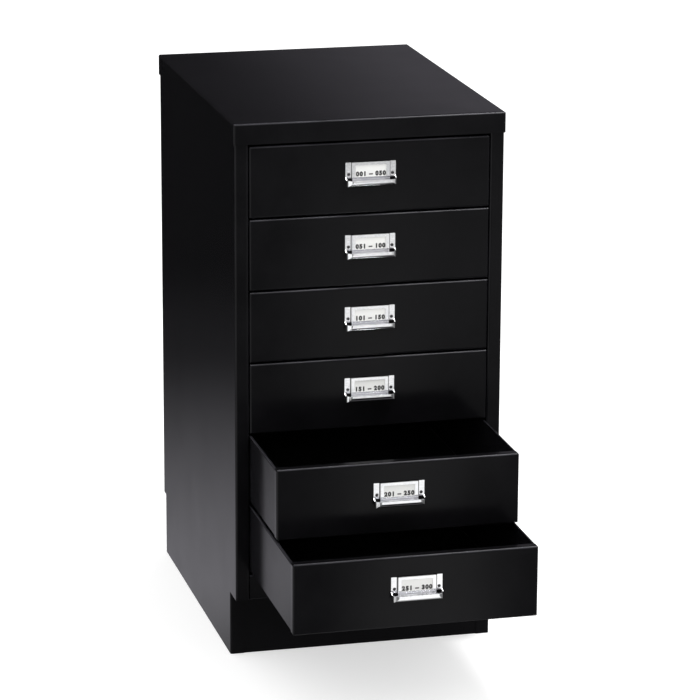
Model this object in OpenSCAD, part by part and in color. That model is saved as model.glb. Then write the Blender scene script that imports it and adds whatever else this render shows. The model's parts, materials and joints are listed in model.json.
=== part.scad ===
// Six-drawer steel cabinet for A4 papers: folded carcase on a recessed plinth,
// drawers that slide on fixed ledges, each with a stamped card-holder pull.
// The origin is on the floor at the centre of the carcase; the drawers face -Y.

/* [Carcase] */
// Width across the side panels
cabinet_w = 279; // [240:1:420]
// Depth from the front stiles to the rear flanges
cabinet_d = 380; // [350:1:600]
// Thickness of the carcase sheet
sheet_t = 0.9; // [0.6:0.1:1.2]
// Outside radius of the folds in the carcase sheet
fold_r = 2.4; // [1.6:0.1:3]
// Width of the stile that is folded along each side's front edge
stile_w = 14.5; // [13.5:0.5:24]
// Depth of the flange that turns back from each stile
stile_return = 13.5; // [8:0.5:13.5]
// Width of the flange along each side's rear edge
rear_flange = 14; // [8:0.5:20]
// Width of the flanges that carry the cap
top_flange = 12; // [8:0.5:20]

/* [Top cap] */
// Thickness of the cap's sheet
cap_t = 1.2; // [0.8:0.1:1.6]
// Height of the cap's skirt
cap_skirt = 21.5; // [16:0.5:32]
// Outside radius of the cap's pressed edges
cap_r = 2.5; // [2:0.1:3.5]
// Gap between the skirt and the carcase
cap_gap = 0.1; // [0.05:0.05:0.3]
// Gap between the skirt's lower edge and the first drawer
cap_to_drawer = 2.5; // [1.5:0.5:5]

/* [Plinth] */
// Height of the plinth
plinth_h = 68; // [45:1:120]
// How far the plinth stands back from the front stiles
plinth_front_recess = 28; // [20:1:45]
// How far the plinth stands back from the rear flanges
plinth_rear_recess = 10; // [6:1:25]
// Thickness of the plinth's sheet
plinth_t = 1.2; // [0.8:0.1:2]
// Width of the flanges that turn in at the plinth's floor and top
plinth_flange = 15; // [10:1:24]
// Height of the rail between the plinth and the lowest drawer
base_rail_h = 26.8; // [16:0.2:40]

/* [Drawers] */
// Height of a drawer front
front_h = 73.1; // [66:0.1:120]
// Gap between two drawer fronts
front_gap = 1.6; // [1:0.1:3]
// Depth of a drawer front from its face to the tray
front_depth = 9; // [8:0.5:18]
// Thickness of the drawer sheet
drawer_t = 0.8; // [0.6:0.1:1.2]
// Outside radius of a drawer front's edges
front_r = 2.2; // [1.4:0.1:2.6]
// Gap at each side between a drawer and the stiles
side_gap = 0.5; // [0.4:0.1:1]
// Height of a tray's bottom above the lower edge of its front
tray_lift = 2; // [1.8:0.1:3]
// Drop of a tray's upper edge below the upper edge of its front
tray_drop = 1; // [0.8:0.1:2]
// Width of the safety hem along a tray's upper edges
hem_w = 2.4; // [2.2:0.2:6]
// Space behind a closed tray, measured to the rear flanges
rear_space = 12; // [11:0.5:24]
// Full travel of a drawer
drawer_travel = 300; // [200:5:300]
// How far drawer 5 stands open
drawer_5_open = 120; // [0:5:300]
// How far drawer 6 stands open
drawer_6_open = 190; // [0:5:300]

/* [Runners] */
// Thickness of a runner's sheet
runner_t = 1; // [0.8:0.1:1.2]
// Width of the ledge that a tray slides on
ledge_w = 9; // [6:0.5:14]
// Height of a runner's web below its ledge
runner_web_h = 15; // [10:0.5:30]
// Gap between a tray and the runner's web
runner_gap = 0.6; // [0.4:0.1:0.8]
// Gap between a tray's bottom and the ledge
glide_gap = 0.3; // [0.2:0.05:0.4]
// Gap that is left at a drawer's stops
stop_gap = 0.5; // [0.3:0.1:1]
// Width of a runner post
post_w = 20; // [14:1:30]
// Distance from the stiles' returns to the front posts
post_inset = 12; // [4:1:40]

/* [Card-holder pulls] */
// Width of the pull
pull_w = 52; // [46:0.5:80]
// Height of the pull
pull_h = 23.6; // [23.6:0.2:36]
// Thickness of the pull's sheet
pull_t = 0.8; // [0.6:0.1:1]
// Drop of the pull's upper edge below the front's upper edge
pull_drop = 20.5; // [10:0.5:24]
// Width of the ear at each side of the card frame
ear_w = 6.6; // [5:0.2:9]
// Height of the ears
ear_h = 16; // [14:0.5:17]
// Distance from the drawer's face to the back of the card frame
frame_off = 2; // [1.8:0.1:3]
// Width of the window in the card frame
window_w = 32; // [28:0.5:34]
// Height of the window in the card frame
window_h = 12; // [9:0.5:12]
// Outside radius of the half-round bottom of the scoop
lip_r = 4.5; // [3.5:0.1:4.8]
// Height of the scoop's upright rim above its half-round bottom
rim_h = 2; // [0.5:0.1:2.2]
// Thickness of the card
card_t = 0.3; // [0.2:0.05:0.5]

/* [Hidden] */
$fn = 48;
STEEL_BLACK = [0.09, 0.09, 0.1];
PLATED = [0.82, 0.82, 0.84];
RIVET_STEEL = [0.38, 0.38, 0.39];
CARD_WHITE = [0.94, 0.94, 0.92];

// Drawers, numbered from the top
drawers = 6;
open_at_rest = [0, 0, 0, 0, drawer_5_open, drawer_6_open];

// Levels, from the floor up
rail_top = plinth_h + base_rail_h;
drawer_pitch = front_h + front_gap;
skirt_z = rail_top + drawers * drawer_pitch + cap_to_drawer;
cabinet_h = skirt_z + cap_skirt;
shell_top = cabinet_h - cap_t;
function front_z(k) = rail_top + front_gap + (drawers - k) * drawer_pitch;

// Planes of the carcase
front_y = -cabinet_d / 2;
rear_y = cabinet_d / 2;
wall_x = cabinet_w / 2 - sheet_t;
stile_x = cabinet_w / 2 - stile_w;
back_y = rear_y - 2 * sheet_t;
corner_relief = fold_r;
return_relief = 0.5;

// Planes of the drawers
drawer_x = stile_x - side_gap;
tray_front_y = front_y + front_depth;
tray_rear_y = rear_y - rear_space;
tray_h = front_h - tray_lift - tray_drop;
tray_fold_r = 1.6;

// Runners: the web lies on the posts, and the stop is at the ledge's front end
web_x = drawer_x + runner_gap;
post_x = web_x + runner_t;
post_fold_r = 2.4;
runner_front_y = front_y + stile_return + 1.5;
stop_len = 10;
stop_w = 5.5;
stop_y = runner_front_y + stop_len;
end_tab_h = 9;
ledge_x = web_x - ledge_w;
lug_gap = 1;
lug_w = 3.5;
lug_h = 2.4;
lug_t = 1.2;
lug_y = stop_y + stop_gap + drawer_travel;

// Pull: its parts and the rivets that hold it
pull_fold_r = 1.1;
frame_w = pull_w - 2 * ear_w;
window_r = 1.2;
window_drop = (ear_h - window_h) / 2 + 0.8;
scoop_middle = lip_r - pull_h;
scoop_corner_r = 6;
scoop_lower_r = 1.5;
card_gap = 0.5;
card_h = ear_h - 0.5;
rivet_r = 1.2;
rivet_gap = 0.05;
rivet_head_r = 1.7;
rivet_head_h = 0.8;
rivet_x = pull_w / 2 - ear_w / 2;
rivet_drop = 12.2;

// ---- Sheet-metal forms ----

// Reach of a bend beyond the flat part of a leg, on the path's own side
function bend_reach(turn, t, r) = turn > 0 ? r : r - t;

// Outline of a folded sheet. The path starts at the origin along +X and runs along one face,
// with the sheet on its left. Legs are measured between the path's sharp corners, and each
// turn is +90 or -90 degrees with the outside radius r.
module folded_outline(legs, turns, t, r, i = 0) {
    last = i == len(turns);
    before = i == 0 ? 0 : bend_reach(turns[i - 1], t, r);
    after = last ? 0 : bend_reach(turns[i], t, r);
    flat = legs[i] - before - after;
    square([flat, t]);
    if (!last) {
        side = turns[i] > 0 ? 1 : -1;
        centre = turns[i] > 0 ? r : t - r;
        translate([flat, centre]) intersection() {
            difference() {
                circle(r);
                circle(r - t);
            }
            translate([0, side > 0 ? -r : 0]) square(r);
        }
        translate([flat + after, side * after])
            rotate(turns[i]) folded_outline(legs, turns, t, r, i + 1);
    }
}

// Extrusions along X of an outline drawn in YZ, and along Y of an outline drawn in XZ
module along_x(length) rotate([90, 0, 90]) linear_extrude(length, center = true) children();
module along_y(length) rotate([90, 0, 0]) linear_extrude(length, center = true) children();

module rounded_rect(w, d, r) {
    square([w - 2 * r, d], center = true);
    square([w, d - 2 * r], center = true);
    for (x = [-1, 1], y = [-1, 1]) translate([x * (w / 2 - r), y * (d / 2 - r)]) circle(r);
}

// Block outline with its two upper corners rounded
module arched_rect(w, h, r) {
    translate([-w / 2, 0]) square([w, h - r]);
    translate([-w / 2 + r, 0]) square([w - 2 * r, h]);
    for (x = [-1, 1]) translate([x * (w / 2 - r), h - r]) circle(r);
}

module rounded_block(w, d, h, r) {
    intersection() {
        linear_extrude(h) rounded_rect(w, d, r);
        along_y(d) arched_rect(w, h, r);
        along_x(w) arched_rect(d, h, r);
    }
}

// Pan that is pressed from one sheet, standing on its open side
module pressed_pan(w, d, h, r, t) {
    difference() {
        rounded_block(w, d, h, r);
        translate([0, 0, -t]) rounded_block(w - 2 * t, d - 2 * t, h, r - t);
    }
}

module mirrored_for(side) {
    if (side > 0) mirror([1, 0, 0]) children();
    else children();
}

// ---- Carcase ----

module top_cap() {
    reach = 2 * (cap_gap + cap_t);
    color(STEEL_BLACK) translate([0, 0, skirt_z])
        pressed_pan(cabinet_w + reach, cabinet_d + reach, cap_skirt, cap_r, cap_t);
}

// Side, stile and flanges are one folded sheet, drawn for the left and mirrored for the right.
// Below the drawers the blank is notched, and its edges turn in around the plinth.
module side_panel(side) {
    lower_front_y = front_y + plinth_front_recess;
    lower_rear_y = rear_y - plinth_rear_recess;
    wall_top = shell_top - fold_r;
    flange_front_y = front_y + stile_return + return_relief;
    flange_rear_y = rear_y - rear_flange - 2;
    color(STEEL_BLACK) mirrored_for(side) {
        translate([-cabinet_w / 2 + rear_flange, rear_y, plinth_h])
            linear_extrude(wall_top - plinth_h) rotate(180)
                folded_outline(
                    [rear_flange, cabinet_d, stile_w, stile_return], [90, 90, 90],
                    sheet_t, fold_r
                );
        translate([-cabinet_w / 2 + rear_flange, lower_rear_y, 0])
            linear_extrude(plinth_h) rotate(180)
                folded_outline(
                    [rear_flange, lower_rear_y - lower_front_y, stile_w], [90, 90],
                    sheet_t, fold_r
                );
        translate([-cabinet_w / 2 + top_flange, (flange_front_y + flange_rear_y) / 2, shell_top])
            along_y(flange_rear_y - flange_front_y) rotate(180)
                folded_outline([top_flange, 2 * fold_r], [90], sheet_t, fold_r);
    }
}

module left_side_panel() side_panel(-1);
module right_side_panel() side_panel(1);

// The back lies against the inner faces of the sides' rear flanges and folds in under the cap
module back_panel() {
    color(STEEL_BLACK) translate([0, back_y + sheet_t, plinth_h])
        along_x(cabinet_w - 2 * fold_r)
            rotate(90) folded_outline([shell_top - plinth_h, top_flange], [90], sheet_t, fold_r);
}

// Bottom of the carcase: the front edge folds up and back as the rail under the lowest drawer
module base_pan() {
    rail_return = 11;
    rear_upstand = 12;
    cut_w = cabinet_w;
    color(STEEL_BLACK) difference() {
        translate([0, front_y + rail_return, rail_top])
            along_x(2 * wall_x) rotate(180)
                folded_outline(
                    [rail_return, base_rail_h, back_y - front_y, rear_upstand], [90, 90, 90],
                    sheet_t, fold_r
                );
        for (side = [-1, 1]) {
            translate([side * (stile_x + cut_w / 2), front_y, rail_top])
                cube([cut_w, 2 * (stile_return + return_relief), 3 * base_rail_h], center = true);
            translate([side * (wall_x - corner_relief + cut_w / 2), rear_y, rail_top])
                cube([cut_w, 2 * (sheet_t * 2 + corner_relief), 3 * base_rail_h], center = true);
        }
    }
}

// Channel behind the cap's front skirt, between the stiles
module top_rail() {
    rail_flange = 12;
    color(STEEL_BLACK) translate([0, front_y + rail_flange, shell_top])
        along_x(2 * stile_x) rotate(180)
            folded_outline(
                [rail_flange, shell_top - skirt_z, rail_flange], [90, 90], sheet_t, fold_r
            );
}

// Welded frame of channel section that the cabinet stands on
module plinth_frame() {
    inner_front_y = front_y + plinth_front_recess + sheet_t;
    inner_rear_y = rear_y - plinth_rear_recess - sheet_t;
    w = 2 * wall_x;
    d = inner_rear_y - inner_front_y;
    color(STEEL_BLACK) translate([0, (inner_front_y + inner_rear_y) / 2, 0]) difference() {
        linear_extrude(plinth_h) rounded_rect(w, d, fold_r);
        translate([0, 0, plinth_t]) linear_extrude(plinth_h - 2 * plinth_t)
            rounded_rect(w - 2 * plinth_t, d - 2 * plinth_t, fold_r - plinth_t);
        translate([0, 0, -plinth_t]) linear_extrude(plinth_h + 2 * plinth_t)
            rounded_rect(w - 2 * plinth_flange, d - 2 * plinth_flange, fold_r);
    }
}

// ---- Runners ----

// Channel that stands between the base pan and the side's top flange, open to the side panel
module runner_post(side, y) {
    foot = plinth_h + sheet_t;
    color(STEEL_BLACK) mirrored_for(side) translate([-wall_x, y, foot])
        linear_extrude(shell_top - sheet_t - foot)
            folded_outline(
                [wall_x - post_x, post_w, wall_x - post_x], [90, 90], sheet_t, post_fold_r
            );
}

front_post_y = front_y + stile_return + post_inset;
rear_post_y = tray_rear_y - post_inset - post_w;
module left_front_post() runner_post(-1, front_post_y);
module left_rear_post() runner_post(-1, rear_post_y);
module right_front_post() runner_post(1, front_post_y);
module right_rear_post() runner_post(1, rear_post_y);

// Folded ledge under one side of drawer k. A wider front end stops the drawer's lug when it is
// pulled out, and a tab that turns up at the rear stops the closed tray.
module runner(side, k) {
    ledge_z = front_z(k) + tray_lift - glide_gap;
    end_y = tray_rear_y + stop_gap + runner_t;
    runner_fold_r = runner_t + 0.8;
    color(STEEL_BLACK) mirrored_for(side) {
        translate([-ledge_x, (runner_front_y + end_y) / 2, ledge_z])
            along_y(end_y - runner_front_y) rotate(180)
                folded_outline(
                    [post_x - ledge_x, runner_web_h], [90], runner_t, runner_fold_r
                );
        translate([-ledge_x - 0.5, runner_front_y, ledge_z - runner_t])
            cube([stop_w + 0.5, stop_len, runner_t]);
        translate([-web_x + 1, end_y - runner_t, ledge_z - runner_t])
            cube([ledge_w - 2, runner_t, end_tab_h]);
    }
}

// ---- Drawers ----

module at_drawer(k) translate([0, -open_at_rest[k - 1], front_z(k)]) children();

// Tray: a folded trough with hemmed upper edges, closed by a wall at each end, with a lug at
// each side under its rear part
module tray(k) {
    top_z = tray_lift + tray_h;
    end_w = 2 * (drawer_x - drawer_t);
    end_h = tray_h - drawer_t;
    color(STEEL_BLACK) at_drawer(k) {
        translate([drawer_x - hem_w, (tray_front_y + tray_rear_y) / 2, top_z])
            along_y(tray_rear_y - tray_front_y) mirror([1, 0])
                rotate(180) folded_outline(
                    [hem_w, tray_h, 2 * drawer_x, tray_h, hem_w], [90, 90, 90, 90],
                    drawer_t, tray_fold_r
                );
        for (y = [tray_front_y, tray_rear_y - drawer_t])
            translate([0, y + drawer_t / 2, tray_lift + drawer_t])
                along_y(drawer_t) translate([0, end_h / 2])
                    rounded_rect(end_w, end_h, tray_fold_r - drawer_t);
        for (side = [-1, 1])
            translate([side * (ledge_x - lug_gap - lug_w / 2), lug_y + lug_t / 2, tray_lift - lug_h / 2])
                cube([lug_w, lug_t, lug_h + drawer_t], center = true);
    }
}

// Face of a drawer: a pressed pan whose open side meets the tray
module drawer_front(k) {
    color(STEEL_BLACK) at_drawer(k) difference() {
        translate([0, tray_front_y, front_h / 2]) rotate([90, 0, 0])
            pressed_pan(2 * drawer_x, front_h, front_depth, front_r, sheet_t);
        at_rivets() cylinder(r = rivet_r + rivet_gap, h = 4 * sheet_t, center = true);
    }
}

// Children are placed at the pull's upper edge on the drawer's face, and stand out along +Z
module at_pull() translate([0, front_y, front_h - pull_drop]) rotate([90, 0, 0]) children();

module at_rivets() {
    at_pull() for (x = [-1, 1]) translate([x * rivet_x, -rivet_drop, 0]) children();
}

// Extrusion along X of an outline drawn with its first axis pointing out of the drawer's face
module out_along_x(length) rotate([0, 0, -90]) rotate([90, 0, 0])
    linear_extrude(length, center = true) children();

// Solid that the scoop's sheet encloses when its walls are moved in by inset. The section across
// it is half round below and upright above; its front and lower corners are rounded.
module scoop_solid(inset) {
    w = pull_w - 2 * inset;
    r = lip_r - inset;
    reach = frame_off + 2 * lip_r - inset;
    corner = scoop_corner_r - inset;
    intersection() {
        out_along_x(w) translate([frame_off + lip_r, scoop_middle]) {
            intersection() {
                circle(r);
                translate([-r, -r]) square([2 * r, r]);
            }
            translate([-r, 0]) square([2 * r, rim_h + inset]);
        }
        translate([0, (corner - reach) / 2, -pull_h])
            linear_extrude(pull_h) rounded_rect(w, reach + corner, corner);
        translate([0, 0, inset]) mirror([0, 0, 1])
            along_y(4 * reach) arched_rect(w, pull_h, scoop_lower_r - inset);
    }
}

// Side of the pull's shell, from the ear's lower end to the scoop's end, drawn as out_along_x
// wants it
module cheek_outline() {
    reach = frame_off + min(lip_r / 2, 2 * lip_r - scoop_corner_r);
    polygon([
        [0, pull_t - ear_h], [pull_t, pull_t - ear_h],
        [reach, scoop_middle + rim_h], [reach, scoop_middle],
        [frame_off + lip_r / 4, scoop_middle - lip_r / 2], [0, scoop_middle]
    ]);
}

// Stamped pull: ears on the drawer's face, a card frame that steps forward, a strip below it
// and a scoop for the fingertips, which is open at the back behind the ears and joined to them
// by a cheek at each end
module pull(k) {
    opening_w = ear_w - pull_t;
    color(PLATED) at_drawer(k) translate([0, front_y, front_h - pull_drop]) {
        difference() {
            mirror([0, 1, 0]) translate([-pull_w / 2, 0, -ear_h]) linear_extrude(ear_h)
                folded_outline(
                    [ear_w, frame_off, frame_w, frame_off, ear_w], [90, -90, -90, 90],
                    pull_t, pull_fold_r
                );
            translate([0, 0, -window_drop - window_h / 2])
                along_y(4 * frame_off + 4 * pull_t) rounded_rect(window_w, window_h, window_r);
            for (x = [-1, 1]) translate([x * rivet_x, 0, -rivet_drop]) rotate([90, 0, 0])
                cylinder(r = rivet_r + rivet_gap, h = 4 * pull_t, center = true);
        }
        out_along_x(frame_w) translate([frame_off, scoop_middle])
            square([pull_t, -ear_h - scoop_middle]);
        for (side = [-1, 1]) translate([side * (pull_w - pull_t) / 2, 0, 0])
            out_along_x(pull_t) cheek_outline();
        difference() {
            scoop_solid(0);
            scoop_solid(pull_t);
            for (side = [-1, 1])
                translate([side * (frame_w + opening_w) / 2, -frame_off - pull_t / 2, scoop_middle + rim_h])
                    cube([opening_w, 1.2 * pull_t, 2 * rim_h], center = true);
        }
    }
}

// Paper card behind the frame's window
module card(k) {
    color(CARD_WHITE) at_drawer(k) at_pull()
        translate([-frame_w / 2 + card_gap, -card_h, frame_off - card_t])
            cube([frame_w - 2 * card_gap, card_h, card_t]);
}

// Domed rivets through the ears and the drawer front, clinched behind the sheet
module rivets(k) {
    dome_r = (rivet_head_r * rivet_head_r + rivet_head_h * rivet_head_h) / (2 * rivet_head_h);
    color(RIVET_STEEL) at_drawer(k) at_rivets() {
        translate([0, 0, -sheet_t - rivet_head_h])
            cylinder(r = rivet_r, h = pull_t + sheet_t + rivet_head_h);
        translate([0, 0, -sheet_t - rivet_head_h])
            cylinder(r = rivet_head_r, h = rivet_head_h);
        translate([0, 0, pull_t]) intersection() {
            cylinder(r = rivet_head_r, h = rivet_head_h);
            translate([0, 0, rivet_head_h - dome_r]) sphere(dome_r);
        }
    }
}

top_cap();
left_side_panel();
right_side_panel();
back_panel();
base_pan();
top_rail();
plinth_frame();
left_front_post();
left_rear_post();
right_front_post();
right_rear_post();
runner(-1, 1);  // left_runner_1
runner(-1, 2);  // left_runner_2
runner(-1, 3);  // left_runner_3
runner(-1, 4);  // left_runner_4
runner(-1, 5);  // left_runner_5
runner(-1, 6);  // left_runner_6
runner(1, 1);  // right_runner_1
runner(1, 2);  // right_runner_2
runner(1, 3);  // right_runner_3
runner(1, 4);  // right_runner_4
runner(1, 5);  // right_runner_5
runner(1, 6);  // right_runner_6
tray(1);  // drawer_1_tray
drawer_front(1);  // drawer_1_front
pull(1);  // drawer_1_pull
card(1);  // drawer_1_card
rivets(1);  // drawer_1_rivets
tray(2);  // drawer_2_tray
drawer_front(2);  // drawer_2_front
pull(2);  // drawer_2_pull
card(2);  // drawer_2_card
rivets(2);  // drawer_2_rivets
tray(3);  // drawer_3_tray
drawer_front(3);  // drawer_3_front
pull(3);  // drawer_3_pull
card(3);  // drawer_3_card
rivets(3);  // drawer_3_rivets
tray(4);  // drawer_4_tray
drawer_front(4);  // drawer_4_front
pull(4);  // drawer_4_pull
card(4);  // drawer_4_card
rivets(4);  // drawer_4_rivets
tray(5);  // drawer_5_tray
drawer_front(5);  // drawer_5_front
pull(5);  // drawer_5_pull
card(5);  // drawer_5_card
rivets(5);  // drawer_5_rivets
tray(6);  // drawer_6_tray
drawer_front(6);  // drawer_6_front
pull(6);  // drawer_6_pull
card(6);  // drawer_6_card
rivets(6);  // drawer_6_rivets
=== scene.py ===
import json
import math

import bpy
from mathutils import Matrix, Vector

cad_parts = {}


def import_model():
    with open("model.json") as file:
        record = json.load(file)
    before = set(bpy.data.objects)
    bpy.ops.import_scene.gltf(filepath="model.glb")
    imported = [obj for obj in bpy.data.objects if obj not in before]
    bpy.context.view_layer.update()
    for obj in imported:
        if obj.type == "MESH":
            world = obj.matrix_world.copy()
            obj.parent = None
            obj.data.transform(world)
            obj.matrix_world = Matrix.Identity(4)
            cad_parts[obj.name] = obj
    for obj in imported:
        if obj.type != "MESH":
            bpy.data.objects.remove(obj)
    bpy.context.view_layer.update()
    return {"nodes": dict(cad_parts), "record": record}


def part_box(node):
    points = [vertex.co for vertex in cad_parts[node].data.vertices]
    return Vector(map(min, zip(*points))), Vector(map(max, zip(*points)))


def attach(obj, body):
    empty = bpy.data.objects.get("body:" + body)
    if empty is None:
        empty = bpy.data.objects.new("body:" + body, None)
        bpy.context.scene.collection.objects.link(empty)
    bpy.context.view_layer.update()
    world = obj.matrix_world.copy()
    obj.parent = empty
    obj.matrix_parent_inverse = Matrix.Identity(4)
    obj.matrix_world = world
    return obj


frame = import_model()
nodes = frame["nodes"]
scene = bpy.context.scene


# ---- Node helpers ----

class Tree:
    """Short calls for building one node tree. Values may be numbers, colours or sockets."""

    def __init__(self, tree):
        self.tree = tree
        tree.nodes.clear()

    def add(self, kind, inputs=None, **settings):
        node = self.tree.nodes.new(kind)
        for name, value in settings.items():
            setattr(node, name, value)
        for name, value in (inputs or {}).items():
            socket = node.inputs[name]
            if isinstance(value, bpy.types.NodeSocket):
                self.tree.links.new(value, socket)
            else:
                socket.default_value = value
        return node

    def math(self, operation, a, b=0.0):
        return self.add("ShaderNodeMath", {0: a, 1: b}, operation=operation).outputs[0]

    def total(self, first, *others):
        for other in others:
            first = self.math("ADD", first, other)
        return first

    def product(self, first, *others):
        for other in others:
            first = self.math("MULTIPLY", first, other)
        return first

    def absolute(self, value):
        return self.math("ABSOLUTE", value)

    def remap(self, value, span, levels, curve="LINEAR"):
        """Goes from the first to the second of the levels while value crosses the span."""
        return self.add("ShaderNodeMapRange", {
            "Value": value, "From Min": span[0], "From Max": span[1],
            "To Min": levels[0], "To Max": levels[1]}, interpolation_type=curve).outputs["Result"]

    def fade(self, value, span, levels):
        """Like remap, but with soft ends."""
        return self.remap(value, span, levels, "SMOOTHSTEP")

    def vary(self, noise, low, high):
        """Spreads the range that noise mostly keeps to over low to high."""
        return self.remap(noise, (0.3, 0.7), (low, high))

    def noise(self, vector, scale, detail, roughness):
        return self.add("ShaderNodeTexNoise", {
            "Vector": vector, "Scale": scale, "Detail": detail,
            "Roughness": roughness}).outputs["Fac"]

    def bump(self, height, strength, distance, **below):
        return self.add("ShaderNodeBump", {
            "Height": height, "Strength": strength, "Distance": distance, **below}).outputs[0]

    def split(self, vector):
        return self.add("ShaderNodeSeparateXYZ", {"Vector": vector}).outputs

    def blend(self, factor, a, b):
        """Colour a where factor is 0, colour b where it is 1."""
        return self.add("ShaderNodeMix", {0: factor, 6: a, 7: b}, data_type="RGBA").outputs[2]

    def choose(self, factor, a, b):
        """Shader a where factor is 0, shader b where it is 1."""
        return self.add("ShaderNodeMixShader", {0: factor, 1: a, 2: b}).outputs[0]

    def shine(self, colour, strength, kind="ShaderNodeEmission"):
        return self.add(kind, {"Color": colour, "Strength": strength}).outputs[0]

    def principled(self, **inputs):
        """Principled shader; an underscore stands for a space in the names of its sockets."""
        named = {name.replace("_", " "): value for name, value in inputs.items()}
        return self.add("ShaderNodeBsdfPrincipled", named).outputs[0]

    def output(self, shader, kind="ShaderNodeOutputMaterial"):
        self.add(kind, {"Surface": shader})


def new_material(name):
    material = bpy.data.materials.new(name)
    material.use_nodes = True
    return material, Tree(material.node_tree)


def grey(value, tint=(1.0, 1.0, 1.0)):
    return (value * tint[0], value * tint[1], value * tint[2], 1.0)


# ---- Materials ----

def powder_coat(name, base, gloss, side_highlight, top_light=0.0):
    """Satin black powder coat: fine orange peel, slightly wavy sheet, uneven gloss, and a painted
    highlight of greyer paint along the bends, most of all where they face up; bends not facing the
    front get the share of it given after gloss. Sheets facing up get painted top light, as the last
    argument says."""
    cool = (0.96, 0.94, 1.1)
    dark_paint, pale_paint = grey(base, cool), grey(base * 1.5, cool)
    # Greys for the painted highlight along the bends and for the painted top light on sheets facing
    # up
    highlight_paint, top_light_paint = grey(0.045, cool), grey(0.035, cool)
    material, t = new_material(name)
    coordinates = t.add("ShaderNodeTexCoord").outputs
    place = coordinates["Object"]
    facing = t.split(coordinates["Normal"])
    peel = t.noise(place, scale=520.0, detail=2.0, roughness=0.55)
    wave = t.noise(place, scale=7.0, detail=1.0, roughness=0.4)
    smudge = t.noise(place, scale=16.0, detail=4.0, roughness=0.6)

    # The normal's largest part is 1 on a flat, square sheet and smaller on a bend
    largest = t.math("MAXIMUM", t.absolute(facing["X"]), t.absolute(facing["Y"]))
    largest = t.math("MAXIMUM", largest, t.absolute(facing["Z"]))
    # Painted highlight along the bends, strongest where they face up towards the light and where they
    # face the front
    bend = t.product(
        t.fade(largest, (0.98, 0.85), (0.0, 1.0)),
        t.remap(facing["Z"], (0.0, 0.5), (0.12, 1.0)),
        t.remap(facing["Y"], (-0.4, -0.1), (1.0, side_highlight)))
    bend_highlight = t.product(bend, t.remap(smudge, (0.38, 0.62), (0.35, 1.0)))
    # Painted top light: sheets that face up are painted lighter, in uneven spots
    top_light_patches = t.product(
        t.remap(facing["Z"], (0.9, 0.99), (0.0, top_light)),
        t.remap(smudge, (0.35, 0.7), (0.5, 1.0)))

    sheet = t.blend(t.remap(smudge, (0.35, 0.75), (0.0, 1.0)), dark_paint, pale_paint)
    coat = t.blend(bend_highlight, sheet, highlight_paint)
    waves = t.bump(wave, strength=0.25, distance=0.0012)
    t.output(t.principled(
        Base_Color=t.blend(top_light_patches, coat, top_light_paint),
        Roughness=t.total(t.vary(smudge, 0.12, 0.21), t.vary(peel, -0.004, 0.004)),
        Normal=t.bump(peel, strength=0.2, distance=0.00002, Normal=waves),
        Specular_IOR_Level=gloss))
    return material


def bright_plate():
    """Bright plated steel, stamped, with faint drawing marks, and painted shade in the tight creases
    where the card frame steps forward beside the card."""
    grey_plate, pale_plate = (0.86, 0.87, 0.89, 1.0), (0.93, 0.93, 0.94, 1.0)
    # Near-black colour for the painted shade in the creases beside the card
    shaded_plate = (0.03, 0.03, 0.032, 1.0)
    card_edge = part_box("drawer_1_card")[1][0]
    # The painted shade reaches this far from the card's side edge
    fold_reach = 0.002  # from the card's side edge
    material, t = new_material("bright_plated_steel")
    coordinates = t.add("ShaderNodeTexCoord").outputs
    place = coordinates["Object"]
    lengthwise = t.add("ShaderNodeMapping", {"Vector": place, "Scale": (1.0, 6.0, 6.0)}).outputs[0]
    marks = t.noise(lengthwise, scale=300.0, detail=3.0, roughness=0.6)
    soft = t.noise(place, scale=90.0, detail=2.0, roughness=0.5)

    from_edge = t.absolute(t.math("SUBTRACT", t.absolute(t.split(place)["X"]), card_edge))
    sideways = t.absolute(t.split(coordinates["Normal"])["X"])
    # Painted shade on the sideways faces next to the card's side edges, where the frame steps forward
    fold_shade = t.product(
        t.remap(sideways, (0.35, 0.8), (0.0, 0.95)),
        t.math("LESS_THAN", from_edge, fold_reach))
    plate = t.blend(t.vary(soft, 0.0, 1.0), grey_plate, pale_plate)
    t.output(t.principled(
        Base_Color=t.blend(fold_shade, plate, shaded_plate),
        Metallic=1.0,
        Roughness=t.vary(marks, 0.10, 0.2),
        Normal=t.bump(soft, strength=0.2, distance=0.00008)))
    return material


def rivet_steel():
    """Dark steel of the rivets, lightly brushed by the riveting tool."""
    material, t = new_material("rivet_steel")
    place = t.add("ShaderNodeTexCoord").outputs["Object"]
    grain = t.noise(place, scale=1400.0, detail=3.0, roughness=0.6)
    t.output(t.principled(
        Base_Color=t.blend(grain, (0.05, 0.05, 0.052, 1.0), (0.14, 0.14, 0.145, 1.0)),
        Metallic=1.0,
        Roughness=t.vary(grain, 0.3, 0.42),
        Normal=t.bump(grain, strength=0.3, distance=0.00003)))
    return material


def paper():
    """Matt white card with a faint fibre."""
    material, t = new_material("white_card")
    place = t.add("ShaderNodeTexCoord").outputs["Object"]
    fibre = t.noise(place, scale=1800.0, detail=4.0, roughness=0.7)
    t.output(t.principled(
        Base_Color=t.blend(fibre, (0.84, 0.84, 0.82, 1.0), (0.93, 0.93, 0.91, 1.0)),
        Roughness=0.85,
        Normal=t.bump(fibre, strength=0.3, distance=0.00003),
        Specular_IOR_Level=0.3))
    return material


def ink():
    """Slightly uneven black print."""
    material, t = new_material("printing_ink")
    place = t.add("ShaderNodeTexCoord").outputs["Object"]
    grain = t.noise(place, scale=2500.0, detail=2.0, roughness=0.6)
    t.output(t.principled(
        Base_Color=t.blend(grain, (0.008, 0.008, 0.009, 1.0), (0.03, 0.03, 0.032, 1.0)),
        Roughness=0.7))
    return material


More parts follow.
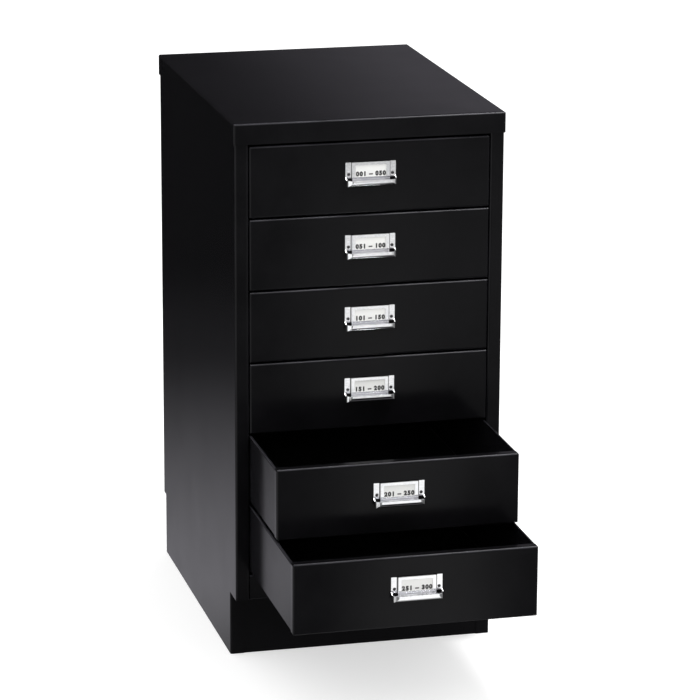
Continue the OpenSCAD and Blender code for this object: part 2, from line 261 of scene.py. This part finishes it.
# The trays' sheets that face up get painted top light
tray_coat = powder_coat("tray_powder_coat", base=0.0075, gloss=0.06, side_highlight=1.0, top_light=0.6)
finishes = {
    "black_paint": powder_coat("black_powder_coat", base=0.0036, gloss=0.12, side_highlight=0.1),
    "bright_plate": bright_plate(),
    "rivet_steel": rivet_steel(),
    "paper": paper(),
}
ink_material = ink()
node_slots = {s["node"]: s["material_slot"] for s in frame["record"]["subparts"]}
for name, node in nodes.items():
    for slot in node.material_slots:
        slot.material = tray_coat if name.endswith("_tray") else finishes[node_slots[name]]


# ---- Card lettering: plain numbers ----

drawers = sum(name.endswith("_card") for name in nodes)
numbers_on_card = 50
letter_size = 0.0059
letter_spacing = 1.28
stroke = 0.00045  # how much the letters are fattened
letter_extrude = 0.00001  # next to nothing, because the fattened edge gives the depth
text_depth = 0.1  # how flat they are pressed
text_lift = 0.00002  # how far they stand in front of the card
text_drop = 0.0121  # from the card's upper edge to their middle


def card_text(k, words):
    low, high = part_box(f"drawer_{k}_card")
    curve = bpy.data.curves.new(f"drawer_{k}_card_number", "FONT")
    curve.body = words
    curve.size = letter_size
    curve.space_character = letter_spacing
    curve.align_x = "CENTER"
    curve.align_y = "CENTER"
    curve.extrude = letter_extrude
    curve.bevel_depth = stroke
    curve.bevel_resolution = 0
    piece = bpy.data.objects.new(f"drawer_{k}_card_number", curve)
    scene.collection.objects.link(piece)
    piece.rotation_euler = (math.radians(90), 0, 0)
    piece.scale = (1, 1, text_depth)
    piece.location = ((low[0] + high[0]) / 2, low[1] - text_lift, high[2] - text_drop)
    piece.data.materials.append(ink_material)
    bpy.context.view_layer.update()
    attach(piece, f"drawer_{k}")


for k in range(1, drawers + 1):
    last_number = k * numbers_on_card
    card_text(k, f"{last_number - numbers_on_card + 1:03d} – {last_number:03d}")


# ---- Floor, wall, world, lamp and camera ----

def staged_sheet(name, corners, material):
    mesh = bpy.data.meshes.new(name)
    mesh.from_pydata(corners, [], [(0, 1, 2, 3)])
    piece = bpy.data.objects.new(name, mesh)
    scene.collection.objects.link(piece)
    piece.data.materials.append(material)


def floor_behind(t, x, y):
    """How bright reflections see the floor behind. The pale sweep ends behind the cabinet's left
    side, which mirrors less of it higher up; the back mirrors an even stretch behind it."""
    sweep = t.total(t.fade(y, (-0.1, 1.05), (0.55, 0.0)), t.fade(y, (1.0, 1.5), (0.042, 0.014)))
    aside = t.total(x, t.product(y, 0.05))
    return t.math("MAXIMUM", sweep, t.fade(aside, (-0.12, 0.04), (0.0, 0.38)))


def floor_in_front(t, x, y):
    """How bright reflections see the floor in front. It is dim but for a bright path, which the
    pulls mirror, a paler stretch to the right of the path, and the far left."""
    dim, pale, far_left = 0.19, 0.45, 0.9
    cabinet_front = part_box("left_side_panel")[0][1]
    slant = 0.2538  # how far the path runs to the right for each metre forward
    across = t.total(x, t.product(t.math("SUBTRACT", y, cabinet_front), slant))
    from_path = t.absolute(t.total(across, t.fade(y, (-1.15, -0.75), (0.0, 0.03))))
    path = t.product(
        t.fade(from_path, (0.03, 0.12), (1.0, 0.0)),
        t.fade(y, (-2.8, -2.5), (0.0, 1.0)),
        t.fade(y, (-0.5, -0.35), (1.0, 0.0)))
    right = t.product(
        t.fade(across, (0.05, 0.12), (0.0, pale)),
        t.remap(y, (-1.3, -1.0), (1.0, 0.0)),
        t.remap(y, (-2.5, -2.2), (0.3, 1.0)))
    left = t.fade(x, (-0.5, -0.25), (far_left, 0.0))
    return t.total(path, right, left, dim)


def floor():
    """Pale floor that keeps the object's shadow; reflections see it graded."""
    reach = 15.0
    material, t = new_material("studio_floor")
    rays = t.add("ShaderNodeLightPath").outputs
    place = t.split(t.add("ShaderNodeNewGeometry").outputs["Position"])
    x, y = place["X"], place["Y"]
    diffuse = t.add("ShaderNodeBsdfDiffuse", {"Color": grey(0.8)}).outputs[0]
    seen = t.add("ShaderNodeAddShader", {0: diffuse, 1: t.shine(grey(1.0), 0.55)}).outputs[0]
    before = t.shine(grey(1.0), floor_in_front(t, x, y))
    behind = t.shine((0.94, 0.92, 1.0, 1.0), floor_behind(t, x, y))
    mirrored = t.choose(t.fade(y, (-0.3, 0.1), (0.0, 1.0)), before, behind)
    other = t.choose(rays["Is Glossy Ray"], diffuse, mirrored)
    t.output(t.choose(rays["Is Camera Ray"], other, seen))
    staged_sheet("studio_floor", [
        (-reach, -reach, 0), (reach, -reach, 0), (reach, reach, 0), (-reach, reach, 0)], material)


def back_wall():
    """A dim wall behind, seen only in reflections, lighter to the right."""
    left, right, depth, foot, top = -2.0, 3.0, 1.0, 0.6, 2.6
    lean = 0.9  # the lighter part starts further right higher up
    material, t = new_material("studio_wall")
    rays = t.add("ShaderNodeLightPath").outputs
    place = t.split(t.add("ShaderNodeNewGeometry").outputs["Position"])
    across = t.math("SUBTRACT", place["X"], t.product(place["Z"], lean))
    lit = t.shine((0.92, 0.88, 1.0, 1.0), t.fade(across, (-0.62, -0.22), (0.03, 0.23)))
    clear = t.add("ShaderNodeBsdfTransparent").outputs[0]
    t.output(t.choose(rays["Is Glossy Ray"], clear, lit))
    staged_sheet("studio_wall", [
        (left, depth, foot), (right, depth, foot), (right, depth, top), (left, depth, top)], material)


def world():
    """White to the camera and an even light on the object. Reflections see it dim, darkest
    behind, with a pale part steeply above in front, which the pulls' scoops mirror."""
    studio = bpy.data.worlds.new("studio")
    studio.use_nodes = True
    scene.world = studio
    # Light rays and reflections see it at different strengths, so it isn't sampled as a lamp
    studio.cycles.sampling_method = "NONE"
    t = Tree(studio.node_tree)
    rays = t.add("ShaderNodeLightPath").outputs
    way = t.split(t.add("ShaderNodeTexCoord").outputs["Generated"])
    ambient = t.shine(grey(1.0), 0.95, "ShaderNodeBackground")
    white = t.shine(grey(1.0), 1.0, "ShaderNodeBackground")
    room = t.fade(way["Y"], (-0.2, 0.6), (0.3, 0.05))
    panel = t.product(
        t.fade(way["Y"], (-0.55, -0.35), (1.0, 0.0)),
        t.fade(way["Z"], (0.2, 0.4), (0.0, 1.0)))
    mirrored = t.shine((1.0, 0.98, 1.0, 1.0), t.math("MAXIMUM", room, panel), "ShaderNodeBackground")
    unseen = t.choose(rays["Is Glossy Ray"], ambient, mirrored)
    seen = t.math("MAXIMUM", rays["Is Camera Ray"], rays["Is Transmission Ray"])
    t.output(t.choose(seen, unseen, white), "ShaderNodeOutputWorld")


def softbox(name, size, place, aim, power):
    light = bpy.data.lights.new(name, "AREA")
    light.shape = "RECTANGLE"
    light.size, light.size_y = size
    light.energy = power
    piece = bpy.data.objects.new(name, light)
    scene.collection.objects.link(piece)
    piece.location = place
    piece.rotation_euler = (Vector(aim) - Vector(place)).to_track_quat("-Z", "Y").to_euler()


def camera(place, yaw, pitch, roll, lens):
    """Camera of the photograph; its angles were fitted to the cabinet's edges there."""
    ahead = math.cos(pitch)
    forward = Vector((math.sin(yaw) * ahead, math.cos(yaw) * ahead, -math.sin(pitch)))
    level = Vector((math.cos(yaw), -math.sin(yaw), 0))
    plumb = forward.cross(level)
    right = math.cos(roll) * level + math.sin(roll) * plumb
    down = -math.sin(roll) * level + math.cos(roll) * plumb
    data = bpy.data.cameras.new("photo_camera")
    data.sensor_width = 36
    data.lens = lens
    data.clip_end = 100
    piece = bpy.data.objects.new("photo_camera", data)
    scene.collection.objects.link(piece)
    turn = Matrix((right, -down, -forward)).transposed()
    piece.matrix_world = Matrix.Translation(place) @ turn.to_4x4()
    scene.camera = piece


scene.view_settings.view_transform = "Standard"
floor()
back_wall()
world()
softbox("overhead", size=(0.56, 0.6), place=(0.61, -0.62, 2.0), aim=(0.05, -0.2, 0.4), power=20)
camera(place=(-0.8623, -3.5126, 1.2787), yaw=0.2482, pitch=0.2706, roll=-0.0047, lens=180.35)
